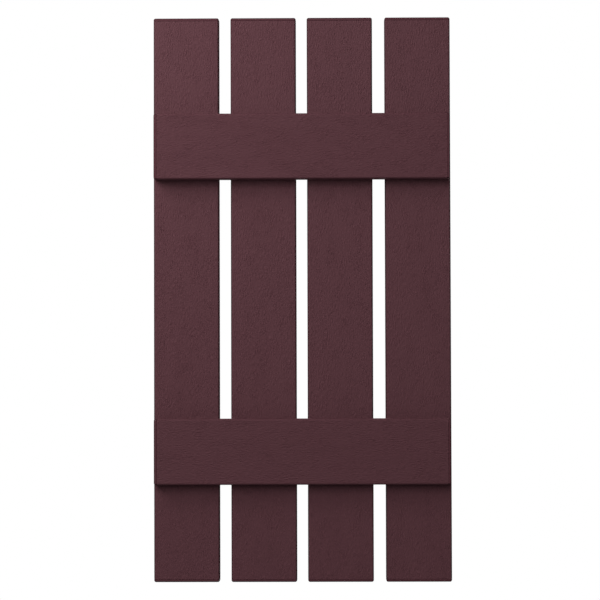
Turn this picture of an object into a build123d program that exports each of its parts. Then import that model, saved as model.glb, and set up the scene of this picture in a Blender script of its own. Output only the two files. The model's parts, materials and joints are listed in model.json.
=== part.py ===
from build123d import *
import os

# Open board and batten shutter: four upright planks set apart, and two planks laid across their fronts.
# Millimetres. +Z is up, +X is to the right of someone who faces the shutter, and the front looks along -Y.
# The origin lies on the wall plane, at half the height and half the width.

# Layout of the shutter
shutter_width = 381.0
shutter_height = 724.0
board_count = 4
board_drift = (0.0, 0.0, -0.9, 0.0)  # how far each board was screwed on to the right of its even place
batten_spacing = 390.0  # between the centre-lines of the two battens
batten_setback = 1.0  # a batten ends this far inside the outer boards' edges

# Plank, one extruded section for boards and battens, open at the back
plank_width = 84.0
plank_depth = 19.0
face_wall = 2.2
side_wall = 2.0
lip_wall = 1.8
lip_reach = 9.5  # from the plank's side to the lip's tip
face_edge_radius = 2.5
back_bevel = 0.8
inside_bevel = 0.8
rib_bevel = 0.4

# Screw slots, two pairs of ribs that run the plank's length from the face wall to the back plane
slot_spacing = 40.0
slot_gap = 2.8
rib_wall = 1.6

# End cap, a moulded plate with plugs that slip between the ribs
cap_rim = 3.9
cap_wall = 2.0
cap_bevel = 0.6
plug_length = 12.0
plug_wall = 1.5
plug_clearance = 0.2
plug_corner = 1.0
plug_lead_in = 0.5

# Screw, thread-forming with a blunt end and a hexagonal head
screw_radius = 2.0
screw_stop = 3.0  # from the screw's end to the inside of the batten's face wall
head_across_flats = 8.0
head_height = 3.2
hole_clearance = 0.3
thread_clearance = 0.05

# Sizes that follow from the driving dimensions
board_pitch = (shutter_width - plank_width) / (board_count - 1)
board_length = shutter_height - 2 * cap_rim
batten_length = shutter_width - 2 * batten_setback - 2 * cap_rim
batten_heights = {"upper": batten_spacing / 2, "lower": -batten_spacing / 2}
hollow_depth = plank_depth - face_wall
screw_length = face_wall + hollow_depth - screw_stop
slot_centres = (-slot_spacing / 2, slot_spacing / 2)
rib_offset = (slot_gap + rib_wall) / 2
hair = 0.01  # room for rounding when corners and edges are picked by their place


def board_centres():
    """X of each board, from left to right."""
    first = (plank_width - shutter_width) / 2
    return [first + number * board_pitch + board_drift[number] for number in range(board_count)]


def screw_places(batten_height):
    """X and Z of the screws of one batten: two on the centre-line of each board."""
    return [(x, batten_height + slot) for x in board_centres() for slot in slot_centres]


def along_depth(radius, near, far, x, z):
    """A round bar along the depth, from Y = near to Y = far."""
    return Pos(x, (near + far) / 2, z) * Rot(90, 0, 0) * Cylinder(radius, abs(far - near))


def band(left, right, front, back):
    """A rectangle of the plank's section, given by its four sides."""
    return Pos((left + right) / 2, (front + back) / 2) * Rectangle(right - left, back - front)


def rib_centres():
    """X of the four ribs in a plank's section, two to a slot."""
    return [slot + side * rib_offset for slot in slot_centres for side in (-1, 1)]


def plank_section():
    """Section across a plank: face wall at the front, side walls, return lips and screw slots."""
    half = plank_width / 2
    outline = band(-half, half, -plank_depth, 0)
    outline = fillet(outline.vertices().group_by(Axis.Y)[0], face_edge_radius)
    outline = chamfer(outline.vertices().group_by(Axis.Y)[-1], back_bevel)
    hollow = band(-half + side_wall, half - side_wall, -hollow_depth, -lip_wall)
    hollow = chamfer(hollow.vertices(), inside_bevel)
    mouth = band(-half + lip_reach, half - lip_reach, -lip_wall - inside_bevel, 0)
    section = outline - hollow - mouth
    for x in rib_centres():
        section += band(x - rib_wall / 2, x + rib_wall / 2, -hollow_depth - face_wall / 2, 0)
    mouth_edge = half - lip_reach
    inner = [corner for corner in section.vertices() if abs(corner.X) < mouth_edge + hair]
    tips = [corner for corner in inner if corner.Y > -lip_wall - hair]
    roots = [corner for corner in inner if abs(corner.Y + hollow_depth) < hair]
    return chamfer(tips + roots, rib_bevel)


def plank(length):
    """A plank that stands on end, centred, with its back on the plane Y = 0."""
    return extrude(plank_section(), length / 2, both=True)


def board(x):
    """An upright board with a clearance hole in its face wall for every screw."""
    piece = Pos(x, 0, 0) * plank(board_length)
    for height in batten_heights.values():
        for slot in slot_centres:
            hole = along_depth(screw_radius + hole_clearance, -plank_depth, -hollow_depth, x, height + slot)
            piece -= hole
    return piece


def batten(height):
    """A cross plank on the boards' fronts, its slot ribs bitten by the screws."""
    piece = Pos(0, -plank_depth, height) * Rot(0, 90, 0) * plank(batten_length)
    bite_end = -hollow_depth - screw_length
    for x, z in screw_places(height):
        piece -= along_depth(screw_radius + thread_clearance, -plank_depth, bite_end, x, z)
    return piece


def plug_spans():
    """Left and right side of each plug: beside the slots and between them."""
    wall_inside = plank_width / 2 - side_wall
    outer = slot_spacing / 2 + rib_offset + rib_wall / 2
    inner = slot_spacing / 2 - rib_offset - rib_wall / 2
    spans = [(-wall_inside, -outer), (-inner, inner), (outer, wall_inside)]
    return [(left + plug_clearance, right - plug_clearance) for left, right in spans]


def plug(left, right):
    """One hollow plug, which hangs below the cap's seat."""
    front = -hollow_depth + plug_clearance
    back = -lip_wall - plug_clearance
    foot = chamfer(band(left, right, front, back).vertices(), plug_corner)
    piece = extrude(foot, -plug_length)
    return chamfer(piece.faces().sort_by(Axis.Z)[0].edges(), plug_lead_in)


def plug_core(left, right):
    """The hollow of a plug, which runs on into the cap's rim as far as the cap's end wall."""
    front = -hollow_depth + plug_clearance + plug_wall
    back = -lip_wall - plug_clearance - plug_wall
    foot = band(left + plug_wall, right - plug_wall, front, back)
    return Pos(0, 0, -plug_length) * extrude(foot, plug_length + cap_rim - cap_wall)


def edges_above_seat(face):
    """The edges of a cap's front or back face, without the one on its seat."""
    return [edge for edge in face.edges() if edge.center().Z > hair]


def end_cap():
    """A cap for the top end of a plank: its seat is the plane Z = 0 and its plugs point down."""
    rim = Pos(0, -plank_depth / 2, cap_rim / 2) * Box(plank_width, plank_depth, cap_rim)
    rim = fillet(rim.edges().filter_by(Axis.Y).group_by(Axis.Z)[-1], face_edge_radius)
    rim = fillet(edges_above_seat(rim.faces().sort_by(Axis.Y)[0]), face_edge_radius)
    rim = chamfer(edges_above_seat(rim.faces().sort_by(Axis.Y)[-1]), back_bevel)
    rim = chamfer(rim.faces().sort_by(Axis.Z)[0].outer_wire().edges(), cap_bevel)
    for left, right in plug_spans():
        rim += plug(left, right)
    for left, right in plug_spans():
        rim -= plug_core(left, right)
    return rim


def screw():
    """A screw on the Z axis: the head's seat is the plane Z = 0 and the shank stands on it."""
    shank = Pos(0, 0, screw_length / 2) * Cylinder(screw_radius, screw_length)
    hexagon = RegularPolygon(head_across_flats / 2, 6, major_radius=False)
    return shank + extrude(hexagon, -head_height)


def main():
    os.makedirs("parts", exist_ok=True)
    nodes = {}
    cap = end_cap()
    driven = Pos(0, -hollow_depth, 0) * Rot(90, 0, 0) * screw()
    for number, x in enumerate(board_centres(), start=1):
        nodes[f"board_{number}"] = board(x)
        nodes[f"board_{number}_top_cap"] = Pos(x, 0, board_length / 2) * cap
        nodes[f"board_{number}_bottom_cap"] = Pos(x, 0, -board_length / 2) * Rot(0, 180, 0) * cap
    for name, height in batten_heights.items():
        nodes[f"{name}_batten"] = batten(height)
        for side, direction in (("left", -1), ("right", 1)):
            seat = Pos(direction * batten_length / 2, -plank_depth, height)
            nodes[f"{name}_batten_{side}_cap"] = seat * Rot(0, direction * 90, 0) * cap
        screws = [Pos(x, 0, z) * driven for x, z in screw_places(height)]
        nodes[f"{name}_batten_screws"] = Compound(children=screws)
    for name, shape in nodes.items():
        export_step(shape, f"parts/{name}.step")


main()
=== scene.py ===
import json
from math import radians

import bpy
from mathutils import Matrix, Vector


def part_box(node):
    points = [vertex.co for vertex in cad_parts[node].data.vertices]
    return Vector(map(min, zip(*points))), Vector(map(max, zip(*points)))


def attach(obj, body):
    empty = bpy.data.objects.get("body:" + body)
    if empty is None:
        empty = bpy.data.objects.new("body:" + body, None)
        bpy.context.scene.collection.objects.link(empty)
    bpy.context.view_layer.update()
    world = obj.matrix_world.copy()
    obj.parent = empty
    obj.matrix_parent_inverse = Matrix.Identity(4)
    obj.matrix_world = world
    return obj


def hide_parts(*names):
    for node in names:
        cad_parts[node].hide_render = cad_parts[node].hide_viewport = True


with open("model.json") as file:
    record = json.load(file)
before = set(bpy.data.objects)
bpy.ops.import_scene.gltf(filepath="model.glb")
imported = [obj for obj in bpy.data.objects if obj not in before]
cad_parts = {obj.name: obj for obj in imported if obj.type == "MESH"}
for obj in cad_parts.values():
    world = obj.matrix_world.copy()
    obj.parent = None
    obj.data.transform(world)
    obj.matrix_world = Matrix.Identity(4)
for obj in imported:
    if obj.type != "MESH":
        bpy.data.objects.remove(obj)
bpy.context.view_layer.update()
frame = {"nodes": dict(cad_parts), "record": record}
bpy.ops.object.select_all(action="DESELECT")

# Open board and batten shutter of red-brown plastic, in metres, in the frame of the model.
# +Z is up, the front looks along -Y, and the backs of the boards lie on the plane Y = 0.

MILLIMETRE = 0.001
X, Y, Z = 0, 1, 2

# Places on the object
board_face = -0.019  # Y of the boards' faces
batten_face = -0.038  # Y of the battens' faces
board_end = 0.3581  # Z where the boards' planks meet their end caps
batten_end = 0.1856  # X where the battens' planks meet their end caps
board_inside = -0.0168  # Y of the inside of the boards' face walls, where the screw heads sit
slot_offset = 0.02  # from a batten's centre-line to its screw slots
boards = ("board_1", "board_2", "board_3", "board_4")

# Screws
head_height = 0.0032
hexagon_radius = 0.0045
washer_radius = 0.0054
washer_thickness = 0.0009
washer_taper = 0.9
corner_break = 0.45 * MILLIMETRE
hollow_rim = 0.9 * MILLIMETRE
hollow_depth = 0.6 * MILLIMETRE
hollow_taper = 0.8
shank_end_bevel = 0.6 * MILLIMETRE
thread_root = 0.0015
thread_crest = 0.0020
thread_pitch = 0.0014
thread_start = 1.2 * MILLIMETRE  # from the head's seat to the thread's first turn
thread_sunk = 0.12 * MILLIMETRE  # how deep the ridge sits in the shank
thread_turns = 9
thread_steps = 24
smooth_below = radians(32)
screw_turn = radians(37.0)  # between one driven screw and the next
quarter_turn = radians(90)

# Colours, as linear red, green and blue
board_colour = (0.0868, 0.0340, 0.0413)
batten_colour = (0.0820, 0.0317, 0.0388)
# Painted shade: the sides, back and insides of the planks are darker than their faces, for the shade on the
# sides
shaded_side_colour = (0.0740, 0.0272, 0.0340)
cap_colour = (0.0770, 0.0275, 0.0345)
zinc_colour = (0.56, 0.56, 0.54)

# Embossed wood grain, in millimetres: each figure's width across the plank and its length along it
pore_size = (1.15, 5.2)
pimple_size = (1.15, 1.7)
ring_size = (7.0, 120.0)
patch_size = (11.0, 20.0)
wander_size = (60.0, 140.0)
wander_reach = 22.0  # how far the grain strays sideways
pore_share = 0.70
pimple_share = 0.30
depth_size = 3.0  # how fast the pores change towards the back
grain_contrast = 5.0
patch_strength = (0.60, 1.05)  # of the grain, in its faint and its strong patches
ring_relief = 0.2
grain_depth = 0.40
skin_depth = 0.012
moulded_depth = 0.02  # on the caps and the screws

# Zones of a plank, as millimetres behind its face, or from its end, where each starts and stops fading
face_fade = (0.03, 0.9)
front_fade = (0.25, 1.6)
corner_rise = (0.08, 0.6)
corner_fade = (1.8, 3.4)
end_fade = (0.3, 1.2)

# The same on a cap, as millimetres beyond the seam where it meets its plank
seam_fade = (0.25, 0.85)
end_face_rise = (2.0, 3.7)
below_boards = -50.0  # a cap lower than this from a board's end is on a batten

# What each mark adds to the brightness, as a share of it
# Painted shade on the rounded corners behind the faces of boards, battens and caps
board_corner_painted_shade = -0.60  # on the rounded corner behind the face
batten_corner_painted_shade = -0.08
cap_corner_painted_shade = -0.50
# Painted shade in the seam where a cap meets its plank
seam_painted_shade = -0.32
# The grooves of the grain darker: grain tone and painted shade
groove_tone_and_painted_shade = -0.02
# Painted highlight on the ridge tops of the grain
tip_painted_highlight = 0.15
band_shade = -0.012
# Painted highlight: a light line at a plank's ends, next to its caps
end_painted_highlight = 0.10
plank_cloud_light = 0.015
cap_cloud_light = 0.06

# Gloss
side_roughness = 0.80
face_roughness = 0.50
cap_roughness = 0.56
cap_end_roughness = 0.34  # more on a cap's end face
plank_shine = 0.06
cap_shine = 0.04


# Node trees

def put(tree, kind, **settings):
    """A new node of the kind, with its settings made."""
    made = tree.nodes.new(kind)
    for name, value in settings.items():
        setattr(made, name, value)
    return made


def wire(tree, source, target):
    """Wires an output socket to an input socket."""
    tree.links.new(source, target)


def feed(tree, target, value):
    """Gives an input socket a number or colour, or wires an output socket to it."""
    if isinstance(value, bpy.types.NodeSocket):
        wire(tree, value, target)
    else:
        target.default_value = value


def maths(tree, operation, first, second=0.0, third=0.0):
    """The result of a Math node."""
    made = put(tree, "ShaderNodeMath", operation=operation)
    for socket, value in zip(made.inputs, (first, second, third)):
        feed(tree, socket, value)
    return made.outputs[0]


def add_marks(tree, start, marks):
    """A value with marks laid on it one by one, each given as a mask and what it adds."""
    for mask, amount in marks:
        start = maths(tree, "MULTIPLY_ADD", mask, amount, start)
    return start


def ramp(tree, value, low, high, to_low=0.0, to_high=1.0, curve="SMOOTHSTEP"):
    """A value carried from one range to another and kept inside it."""
    made = put(tree, "ShaderNodeMapRange", interpolation_type=curve, clamp=True)
    for socket, number in zip(made.inputs, (value, low, high, to_low, to_high)):
        feed(tree, socket, number)
    return made.outputs[0]


def fade_out(tree, value, start, stop):
    """A mask that falls from 1 to 0 as the value goes from start to stop."""
    return ramp(tree, value, start, stop, 1.0, 0.0)


def blend(tree, share, first, second):
    """A colour between two others."""
    made = put(tree, "ShaderNodeMix", data_type="RGBA")
    feed(tree, made.inputs[0], share)
    feed(tree, made.inputs[6], (*first, 1.0))
    feed(tree, made.inputs[7], (*second, 1.0))
    return made.outputs[2]


def vector(tree, x, y, z):
    """A vector from three numbers or sockets."""
    made = put(tree, "ShaderNodeCombineXYZ")
    for socket, value in zip(made.inputs, (x, y, z)):
        feed(tree, socket, value)
    return made.outputs[0]


def noise(tree, place, detail, roughness, scale=1.0):
    """The value of a noise at a place."""
    made = put(tree, "ShaderNodeTexNoise", noise_dimensions="3D")
    feed(tree, made.inputs["Vector"], place)
    made.inputs["Scale"].default_value = scale
    made.inputs["Detail"].default_value = detail
    made.inputs["Roughness"].default_value = roughness
    return made.outputs[0]


def new_group(name, inputs, outputs):
    """An empty node group with named sockets, its input node and its output node."""
    tree = bpy.data.node_groups.new(name, "ShaderNodeTree")
    for label, kind, value in inputs:
        socket = tree.interface.new_socket(label, in_out="INPUT", socket_type=kind)
        if value is not None:
            socket.default_value = value
    for label in outputs:
        tree.interface.new_socket(label, in_out="OUTPUT", socket_type="NodeSocketFloat")
    return tree, put(tree, "NodeGroupInput"), put(tree, "NodeGroupOutput")


def put_out(tree, out, **results):
    """Wires a group's results to its output node."""
    for label, value in results.items():
        wire(tree, value, out.inputs[label])


def use_group(tree, group, **values):
    """A group placed in a material, with its inputs set or wired."""
    made = put(tree, "ShaderNodeGroup", node_tree=group)
    for label, value in values.items():
        feed(tree, made.inputs[label], value)
    return made


# Effects that several finishes share

def embossed_grain():
    """Wood grain pressed into the plank's face. Across, Depth and Along are millimetres on the plank."""
    tree, inside, out = new_group(
        "embossed_grain",
        [(name, "NodeSocketFloat", 0.0) for name in ("Across", "Depth", "Along")],
        ("Height", "Groove", "Tip", "Band"),
    )
    across, depth, along = (inside.outputs[name] for name in ("Across", "Depth", "Along"))

    def figure(size, layer, sideways=across):
        """A noise stretched to a width and a length. Each figure has a layer of its own."""
        wide, long = size
        left_right = maths(tree, "DIVIDE", sideways, wide)
        up_down = maths(tree, "DIVIDE", along, long)
        return noise(tree, vector(tree, left_right, layer, up_down), detail=1.0, roughness=0.5)

    wander = figure(wander_size, 3.7)
    bent = maths(tree, "MULTIPLY_ADD", wander, wander_reach, across)
    pores = figure(pore_size, maths(tree, "DIVIDE", depth, depth_size), bent)
    pimples = figure(pimple_size, 8.3)
    rings = figure(ring_size, 1.9, bent)
    patches = ramp(tree, figure(patch_size, 5.1), 0.38, 0.66, *patch_strength)
    texture = maths(tree, "MULTIPLY_ADD", pores, pore_share, maths(tree, "MULTIPLY", pimples, pimple_share))
    texture = maths(tree, "MULTIPLY_ADD", texture, grain_contrast, -grain_contrast / 2)
    texture = maths(tree, "MULTIPLY", texture, patches)
    put_out(
        tree,
        out,
        Height=maths(tree, "MULTIPLY_ADD", rings, ring_relief, texture),
        Groove=ramp(tree, texture, -0.5, 0.2, 1.0, 0.0, "LINEAR"),
        Tip=ramp(tree, texture, 0.15, 0.7),
        Band=ramp(tree, rings, 0.36, 0.64),
    )
    return tree


def moulded_skin():
    """The fine matt skin of the plastic and its faint cloudiness. Place is in millimetres."""
    tree, inside, out = new_group(
        "moulded_skin", [("Place", "NodeSocketVector", None)], ("Height", "Cloud")
    )
    place = inside.outputs["Place"]
    put_out(
        tree,
        out,
        Height=noise(tree, place, detail=2.0, roughness=0.6, scale=1.6),
        Cloud=noise(tree, place, detail=3.0, roughness=0.55, scale=0.012),
    )
    return tree


def plank_zones():
    """Masks of a plank: its embossed face, its front, the rounded corner behind the face, its ends."""
    tree, inside, out = new_group(
        "plank_zones",
        [("Behind", "NodeSocketFloat", 0.0), ("To End", "NodeSocketFloat", 100.0)],
        ("Face", "Front", "Corner", "End"),
    )
    behind = inside.outputs["Behind"]
    rise = ramp(tree, behind, *corner_rise)
    put_out(
        tree,
        out,
        Face=fade_out(tree, behind, *face_fade),
        Front=fade_out(tree, behind, *front_fade),
        Corner=maths(tree, "MULTIPLY", rise, fade_out(tree, behind, *corner_fade)),
        End=fade_out(tree, inside.outputs["To End"], *end_fade),
    )
    return tree


# Finishes

def start_finish(name):
    """A fresh material of the name with its shader, and the place on the piece in millimetres."""
    material = bpy.data.materials.new(name + "_finish")
    material.use_nodes = True
    tree = material.node_tree
    shader = tree.nodes["Principled BSDF"]
    seat = put(tree, "ShaderNodeTexCoord")
    scaled = put(tree, "ShaderNodeVectorMath", operation="SCALE")
    wire(tree, seat.outputs["Object"], scaled.inputs[0])
    scaled.inputs["Scale"].default_value = 1 / MILLIMETRE
    parts = put(tree, "ShaderNodeSeparateXYZ")
    wire(tree, scaled.outputs[0], parts.inputs[0])
    return material, tree, shader, scaled.outputs[0], parts.outputs


def tint(tree, shader, colour, tone):
    """Gives the shader a colour times a brightness that changes over the piece."""
    shade = put(tree, "ShaderNodeVectorMath", operation="SCALE")
    feed(tree, shade.inputs[0], colour)
    wire(tree, tone, shade.inputs["Scale"])
    wire(tree, shade.outputs[0], shader.inputs["Base Color"])


def raise_skin(tree, shader, grain, grain_rise, skin, skin_rise):
    """Bumps of the grain with the fine skin over them, each as high as its rise in millimetres."""
    below = put(tree, "ShaderNodeBump")
    above = put(tree, "ShaderNodeBump")
    for bump, height, rise in ((below, grain, grain_rise), (above, skin, skin_rise)):
        bump.inputs["Strength"].default_value = 1.0
        bump.inputs["Distance"].default_value = rise * MILLIMETRE
        wire(tree, height, bump.inputs["Height"])
    wire(tree, below.outputs[0], above.inputs["Normal"])
    wire(tree, above.outputs[0], shader.inputs["Normal"])


def cloudiness(tree, matt):
    """The skin's faint clouds, from 0 to 1."""
    return ramp(tree, matt.outputs["Cloud"], 0.3, 0.7, curve="LINEAR")


def plank_plastic(name, colour, across_axis, along_axis, face, end, painted_corner_shade, grain, skin, zones):
    """The extruded plastic of a plank, embossed on its face and smooth on its edges and inside."""
    material, tree, shader, place, axes = start_finish(name)
    across, along = axes[across_axis], axes[along_axis]
    behind = maths(tree, "SUBTRACT", axes[Y], face / MILLIMETRE)
    to_end = maths(tree, "SUBTRACT", end / MILLIMETRE, maths(tree, "ABSOLUTE", along))
    zone = use_group(tree, zones, **{"Behind": behind, "To End": to_end})
    wood = use_group(tree, grain, Across=across, Depth=behind, Along=along)
    matt = use_group(tree, skin, Place=place)
    height, groove, tip, band = (
        maths(tree, "MULTIPLY", wood.outputs[effect], zone.outputs["Face"])
        for effect in ("Height", "Groove", "Tip", "Band")
    )
    cloud = cloudiness(tree, matt)
    light_and_dark = [
        (cloud, plank_cloud_light),
        # grain tone and painted shade in the grooves
        (groove, groove_tone_and_painted_shade),
        # painted highlight on the grain's ridge tops
        (tip, tip_painted_highlight),
        (band, band_shade),
        # painted highlight at the plank's ends
        (zone.outputs["End"], end_painted_highlight),
        # painted shade on the rounded corner
        (zone.outputs["Corner"], painted_corner_shade),
    ]
    # Painted shade: behind the face the plank's colour turns to the darker shaded side colour
    body = blend(tree, zone.outputs["Front"], shaded_side_colour, colour)
    tint(tree, shader, body, add_marks(tree, 1.0, light_and_dark))
    rough = ramp(tree, zone.outputs["Front"], 0.0, 1.0, side_roughness, face_roughness, "LINEAR")
    wire(tree, add_marks(tree, rough, [(groove, 0.10), (cloud, 0.06)]), shader.inputs["Roughness"])
    shader.inputs["Specular IOR Level"].default_value = plank_shine
    raise_skin(tree, shader, height, grain_depth, matt.outputs["Height"], skin_depth)
    return material


def cap_plastic(skin, zones):
    """The moulded plastic of the end caps, with a dark line of painted shade where a cap meets its plank.
    """
    material, tree, shader, place, axes = start_finish("cap_plastic")
    matt = use_group(tree, skin, Place=place)
    above_board = maths(tree, "SUBTRACT", maths(tree, "ABSOLUTE", axes[Z]), board_end / MILLIMETRE)
    beyond_batten = maths(tree, "SUBTRACT", maths(tree, "ABSOLUTE", axes[X]), batten_end / MILLIMETRE)
    on_batten = maths(tree, "LESS_THAN", above_board, below_boards)
    to_batten = maths(tree, "SUBTRACT", beyond_batten, above_board)
    from_seam = maths(tree, "MULTIPLY_ADD", on_batten, to_batten, above_board)
    seam = fade_out(tree, from_seam, *seam_fade)
    end_face = ramp(tree, from_seam, *end_face_rise)
    batten_step = (batten_face - board_face) / MILLIMETRE
    face = maths(tree, "MULTIPLY_ADD", on_batten, batten_step, board_face / MILLIMETRE)
    zone = use_group(tree, zones, Behind=maths(tree, "SUBTRACT", axes[Y], face))
    cloud = cloudiness(tree, matt)
    light_and_dark = [
        (cloud, cap_cloud_light),
        # painted shade in the seam
        (seam, seam_painted_shade),
        # painted shade on the cap's rounded corners
        (zone.outputs["Corner"], cap_corner_painted_shade),
    ]
    tint(tree, shader, cap_colour, add_marks(tree, 0.97, light_and_dark))
    rough = add_marks(tree, cap_roughness, [(cloud, 0.08), (end_face, cap_end_roughness)])
    wire(tree, rough, shader.inputs["Roughness"])
    shader.inputs["Specular IOR Level"].default_value = cap_shine
    raise_skin(tree, shader, matt.outputs["Cloud"], moulded_depth, matt.outputs["Height"], moulded_depth)
    return material


def screw_steel():
    """Zinc-plated steel with the faint spangle of the plating and turned marks."""
    material, tree, shader, place, axes = start_finish("screw_steel")
    spangle = noise(tree, place, detail=2.0, roughness=0.5, scale=1.1)
    around = vector(tree, 0.0, maths(tree, "MULTIPLY", axes[Y], 6.0), 0.0)
    marks = noise(tree, around, detail=2.0, roughness=0.6)
    tint(tree, shader, zinc_colour, ramp(tree, spangle, 0.35, 0.65, to_low=0.86, to_high=1.06))
    wire(tree, ramp(tree, marks, 0.3, 0.7, to_low=0.24, to_high=0.42), shader.inputs["Roughness"])
    shader.inputs["Metallic"].default_value = 1.0
    raise_skin(tree, shader, marks, moulded_depth, spangle, moulded_depth)
    return material


grain = embossed_grain()
skin = moulded_skin()
zones = plank_zones()
finishes = {
    "board_plastic": plank_plastic(
        "board_plastic", board_colour, X, Z, board_face, board_end, board_corner_painted_shade,
        grain, skin, zones,
    ),
    "batten_plastic": plank_plastic(
        "batten_plastic", batten_colour, Z, X, batten_face, batten_end, batten_corner_painted_shade,
        grain, skin, zones,
    ),
    "cap_plastic": cap_plastic(skin, zones),
    "screw_steel": screw_steel(),
}
for piece in frame["record"]["subparts"]:
    for slot in frame["nodes"][piece["node"]].material_slots:
        slot.material = finishes[piece["material_slot"]]


# Screws

def upright_cylinder(corners, radius, low, high):
    """A cylinder or prism on the Z axis, from one height to another."""
    bpy.ops.mesh.primitive_cylinder_add(
        vertices=corners, radius=radius, depth=high - low, location=(0.0, 0.0, (low + high) / 2)
    )
    bpy.ops.object.transform_apply(location=True)
    return bpy.context.object


def choose_faces(piece, wanted):
    """Leaves just the faces selected, in edit mode, that the test picks."""
    bpy.ops.object.mode_set(mode="EDIT")
    bpy.ops.mesh.select_mode(type="FACE")
    bpy.ops.mesh.select_all(action="DESELECT")
    bpy.ops.object.mode_set(mode="OBJECT")
    for face in piece.data.polygons:
        face.select = wanted(face)
    bpy.ops.object.mode_set(mode="EDIT")


def join_solids(keep, other):
    """Makes one closed solid of two that overlap."""
    bpy.ops.object.select_all(action="DESELECT")
    bpy.context.view_layer.objects.active = keep
    keep.select_set(True)
    union = keep.modifiers.new("union", "BOOLEAN")
    union.operation = "UNION"
    union.solver = "EXACT"
    union.object = other
    bpy.ops.object.modifier_apply(modifier=union.name)
    bpy.data.objects.remove(other)


def screw_head():
    """A hexagon with broken corners and a pressed hollow, on a washer that tapers to its rim."""
    washer = upright_cylinder(48, washer_radius, -washer_thickness, 0.0)
    choose_faces(washer, lambda face: face.normal.z < -0.9)
    bpy.ops.transform.resize(value=(washer_taper, washer_taper, 1.0))
    bpy.ops.object.mode_set(mode="OBJECT")
    hexagon = upright_cylinder(6, hexagon_radius, -head_height, 0.0)
    choose_faces(hexagon, lambda face: face.normal.z < -0.9)
    bpy.ops.mesh.bevel(offset=corner_break, segments=2, affect="EDGES")
    choose_faces(hexagon, lambda face: face.normal.z < -0.99 and face.center.z < -0.9 * head_height)
    bpy.ops.mesh.inset(thickness=hollow_rim)
    bpy.ops.mesh.extrude_region_move(TRANSFORM_OT_translate={"value": (0.0, 0.0, hollow_depth)})
    bpy.ops.transform.resize(value=(hollow_taper, hollow_taper, 1.0))
    bpy.ops.object.mode_set(mode="OBJECT")
    join_solids(hexagon, washer)
    return hexagon


def screw_thread():
    """A three-sided ridge wound up the Z axis and closed at both ends."""
    ridge = (thread_crest - thread_root + thread_sunk) / 1.5
    bpy.ops.mesh.primitive_circle_add(
        vertices=3,
        radius=ridge,
        location=(thread_crest - ridge, 0.0, thread_start),
        rotation=(quarter_turn, quarter_turn, 0.0),
    )
    thread = bpy.context.object
    bpy.ops.object.transform_apply(location=True, rotation=True)
    wind = thread.modifiers.new("wind", "SCREW")
    wind.axis = "Z"
    wind.screw_offset = thread_pitch
    wind.iterations = thread_turns
    wind.steps = thread_steps
    wind.render_steps = thread_steps
    bpy.ops.object.modifier_apply(modifier=wind.name)
    bpy.ops.object.mode_set(mode="EDIT")
    bpy.ops.mesh.select_all(action="SELECT")
    bpy.ops.mesh.remove_doubles(threshold=0.001 * MILLIMETRE)
    bpy.ops.mesh.fill_holes(sides=4)
    bpy.ops.mesh.select_all(action="SELECT")
    bpy.ops.mesh.normals_make_consistent(inside=False)
    bpy.ops.object.mode_set(mode="OBJECT")
    return thread


def screw_shank(length):
    """A shank with a coarse thread and a blunt, bevelled end. It starts inside the washer."""
    shank = upright_cylinder(24, thread_root, -washer_thickness / 2, length)
    choose_faces(shank, lambda face: face.normal.z > 0.9)
    bpy.ops.mesh.bevel(offset=shank_end_bevel, segments=2, affect="EDGES")
    bpy.ops.object.mode_set(mode="OBJECT")
    join_solids(shank, screw_thread())
    return shank


def screw_model(length):
    """One screw on the Z axis: its seat is the plane Z = 0, with the shank above and the head below."""
    head = screw_head()
    join_solids(head, screw_shank(length))
    bpy.ops.object.mode_set(mode="EDIT")
    bpy.ops.mesh.select_all(action="SELECT")
    bpy.ops.mesh.remove_doubles(threshold=0.01 * MILLIMETRE)
    bpy.ops.mesh.quads_convert_to_tris(quad_method="BEAUTY", ngon_method="BEAUTY")
    bpy.ops.mesh.dissolve_degenerate(threshold=0.01 * MILLIMETRE)
    bpy.ops.object.mode_set(mode="OBJECT")
    bpy.ops.object.shade_smooth_by_angle(angle=smooth_below)
    return head


def drive_screws(pattern, batten, name, material):
    """Copies of the screw at each board that a batten crosses, joined into one piece."""
    low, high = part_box(batten)
    height = (low[Z] + high[Z]) / 2
    lie_down = Matrix.Rotation(quarter_turn, 3, "X")
    copies = []
    for board in boards:
        low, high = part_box(board)
        for slot in (-slot_offset, slot_offset):
            copy = pattern.copy()
            copy.data = pattern.data.copy()
            bpy.context.scene.collection.objects.link(copy)
            copy.location = ((low[X] + high[X]) / 2, board_inside, height + slot)
            turn = Matrix.Rotation(screw_turn * len(copies), 3, "Z")
            copy.rotation_euler = (lie_down @ turn).to_euler()
            copies.append(copy)
    bpy.ops.object.select_all(action="DESELECT")
    for copy in copies:
        copy.select_set(True)
    bpy.context.view_layer.objects.active = copies[0]
    bpy.ops.object.transform_apply(location=True, rotation=True, scale=True)
    bpy.ops.object.join()
    screws = bpy.context.object
    screws.name = name
    screws.data.materials.clear()
    screws.data.materials.append(material)
    screws.select_set(False)
    return screws


pattern = screw_model(board_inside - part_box("upper_batten_screws")[0][1])
for side in ("upper", "lower"):
    screws = drive_screws(pattern, side + "_batten", side + "_hex_screws", finishes["screw_steel"])
    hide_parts(side + "_batten_screws")
    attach(screws, "root")
bpy.data.objects.remove(pattern)


# Studio

def seen_directly(tree):
    """1 for what the camera, a reflection or glass shows, and 0 for light that falls on the object."""
    path = put(tree, "ShaderNodeLightPath")
    seen = maths(tree, "MAXIMUM", path.outputs["Is Camera Ray"], path.outputs["Is Glossy Ray"])
    return maths(tree, "MAXIMUM", seen, path.outputs["Is Transmission Ray"])


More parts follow.
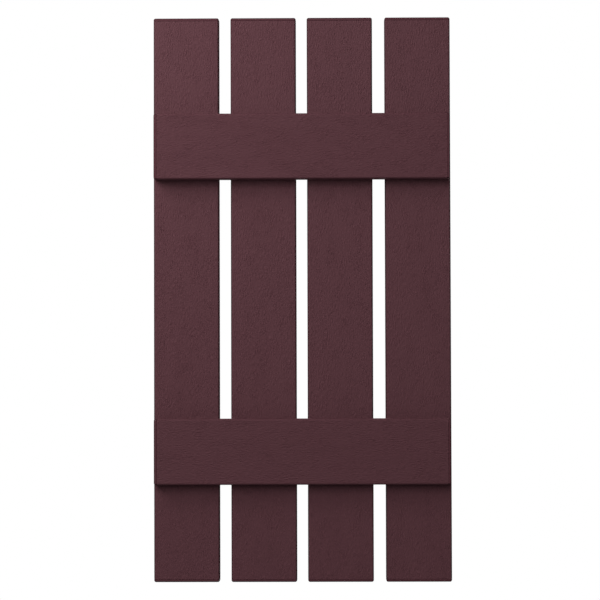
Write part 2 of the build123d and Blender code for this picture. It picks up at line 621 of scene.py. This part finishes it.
def white_surround(fill):
    """A white background that lights the object only a little."""
    world = bpy.data.worlds.new("white_surround")
    bpy.context.scene.world = world
    world.use_nodes = True
    tree = world.node_tree
    shade = tree.nodes["Background"]
    wire(tree, maths(tree, "MULTIPLY_ADD", seen_directly(tree), 1.0 - fill, fill), shade.inputs["Strength"])
    shade.inputs["Color"].default_value = (1.0, 1.0, 1.0, 1.0)


def either(tree, share, first, second):
    """A mix of two shaders."""
    made = put(tree, "ShaderNodeMixShader")
    for socket, source in zip(made.inputs, (share, first, second)):
        wire(tree, source, socket)
    return made.outputs[0]


def floor_paint(centre, radius, grey=0.2, whiteness=0.55):
    """Grey where light falls, whiter where it is seen, white at its rim and clear from below."""
    material = bpy.data.materials.new("floor_paint")
    material.use_nodes = True
    tree = material.node_tree
    tree.nodes.remove(tree.nodes["Principled BSDF"])
    seat = put(tree, "ShaderNodeTexCoord")
    away = put(tree, "ShaderNodeVectorMath", operation="DISTANCE")
    wire(tree, seat.outputs["Object"], away.inputs[0])
    away.inputs[1].default_value = centre
    fade = ramp(tree, away.outputs["Value"], 0.25 * radius, 0.97 * radius)
    paint = put(tree, "ShaderNodeBsdfDiffuse")
    paint.inputs["Color"].default_value = (grey, grey, grey, 1.0)
    glow = put(tree, "ShaderNodeEmission")
    glow.inputs["Color"].default_value = (1.0, 1.0, 1.0, 1.0)
    white_share = maths(tree, "MULTIPLY_ADD", fade, 1.0 - whiteness, whiteness)
    share = maths(tree, "MULTIPLY", seen_directly(tree), white_share)
    from_above = either(tree, share, paint.outputs[0], glow.outputs[0])
    clear = put(tree, "ShaderNodeBsdfTransparent")
    back = put(tree, "ShaderNodeNewGeometry").outputs["Backfacing"]
    surface = either(tree, back, from_above, clear.outputs[0])
    wire(tree, surface, tree.nodes["Material Output"].inputs["Surface"])
    return material


def pale_floor(centre, radius):
    """A pale round floor that fades into the white background and doesn't show from below."""
    bpy.ops.mesh.primitive_circle_add(vertices=96, radius=radius, fill_type="NGON", location=centre)
    floor = bpy.context.object
    floor.name = "floor"
    bpy.ops.object.transform_apply(location=True)
    floor.data.materials.append(floor_paint(centre, radius))
    floor.select_set(False)


def soft_lamp(name, place, width, height, watts, in_reflections=True):
    """A rectangular softbox that looks at the middle of the shutter's back."""
    lamp = bpy.data.lights.new(name, "AREA")
    lamp.shape = "RECTANGLE"
    lamp.size = width
    lamp.size_y = height
    lamp.energy = watts
    holder = bpy.data.objects.new(name, lamp)
    bpy.context.scene.collection.objects.link(holder)
    holder.location = place
    holder.rotation_euler = (-Vector(place)).to_track_quat("-Z", "Y").to_euler()
    holder.visible_glossy = in_reflections


def main_camera():
    """The camera of the main view: a little to the right and below, turned by a hair."""
    aim = Vector((-0.0029, board_face, -0.0013))
    distance = 3.0
    azimuth, elevation, roll = radians(0.77), radians(-1.54), radians(0.16)
    swing = Matrix.Rotation(azimuth, 3, "Z") @ Matrix.Rotation(-elevation, 3, "X")
    towards = swing @ Vector((0.0, -1.0, 0.0))
    data = bpy.data.cameras.new("camera")
    data.sensor_width = 36.0
    data.lens = 140.37
    camera = bpy.data.objects.new("camera", data)
    bpy.context.scene.collection.objects.link(camera)
    camera.location = aim + distance * towards
    turn = (-towards).to_track_quat("-Z", "Y").to_matrix()
    camera.rotation_euler = (turn @ Matrix.Rotation(-roll, 3, "Z")).to_euler()
    bpy.context.scene.camera = camera


white_surround(fill=0.05)
pale_floor(centre=(0.0, -0.35, -0.45), radius=0.95)
soft_lamp("side_softbox", (-0.77, -0.58, 0.75), width=0.60, height=0.80, watts=11.8)
soft_lamp("front_softbox", (-0.10, -2.34, 0.79), width=1.38, height=1.5, watts=33.0)
soft_lamp("back_softbox", (-0.25, 1.6, 1.5), width=1.4, height=0.9, watts=90.0, in_reflections=False)
soft_lamp("right_softbox", (1.6, 1.15, 0.5), width=0.9, height=0.9, watts=26.0)
main_camera()
bpy.context.scene.view_settings.view_transform = "Standard"
